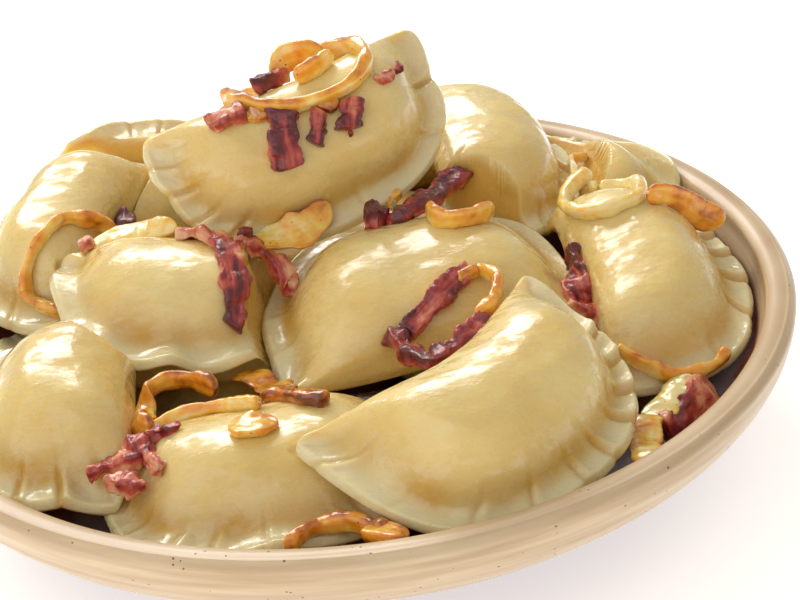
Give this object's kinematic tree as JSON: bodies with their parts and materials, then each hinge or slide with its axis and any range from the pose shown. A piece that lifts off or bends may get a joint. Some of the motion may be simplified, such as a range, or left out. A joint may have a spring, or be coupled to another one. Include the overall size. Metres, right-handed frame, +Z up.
{
  "type": "pierogi in a bowl",
  "caption": "Half-moon dumplings with crimped edges, heaped in a round stoneware bowl and topped with fried bacon and onion.",
  "frame": {"origin": "middle of the bowl's foot, on the surface it stands on", "axes": "+Z up out of the bowl, -Y towards the open front of the heap, +X to the right seen from there"},
  "size_m": [0.248, 0.248, 0.1036],
  "materials": {
    "stoneware": "satin glaze with fine specks",
    "dough": "boiled dough, wet with butter",
    "bacon": "fried, greasy",
    "onion": "fried, soft and translucent"
  },
  "bodies": {
    "root": {"bowl": "stoneware", "pierogi_01": "dough", "pierogi_02": "dough", "pierogi_03": "dough", "pierogi_04": "dough", "pierogi_05": "dough", "pierogi_06": "dough", "pierogi_07": "dough", "pierogi_08": "dough", "pierogi_09": "dough", "pierogi_10": "dough", "pierogi_11": "dough", "pierogi_12": "dough", "pierogi_13": "dough", "pierogi_14": "dough", "pierogi_15": "dough", "pierogi_16": "dough", "pierogi_17": "dough", "pierogi_18": "dough", "pierogi_19": "dough", "pierogi_20": "dough", "bacon_01": "bacon", "bacon_02": "bacon", "bacon_03": "bacon", "bacon_04": "bacon", "bacon_05": "bacon", "bacon_06": "bacon", "bacon_07": "bacon", "bacon_08": "bacon", "bacon_09": "bacon", "bacon_10": "bacon", "bacon_11": "bacon", "bacon_12": "bacon", "bacon_13": "bacon", "bacon_14": "bacon", "bacon_15": "bacon", "bacon_16": "bacon", "bacon_17": "bacon", "bacon_18": "bacon", "onion_01": "onion", "onion_02": "onion", "onion_03": "onion", "onion_04": "onion", "onion_05": "onion", "onion_06": "onion", "onion_07": "onion", "onion_08": "onion", "onion_09": "onion", "onion_10": "onion", "onion_11": "onion", "onion_12": "onion", "onion_13": "onion", "onion_14": "onion", "onion_15": "onion", "onion_16": "onion", "onion_17": "onion", "onion_18": "onion", "onion_19": "onion"}
  },
  "joints": []
}
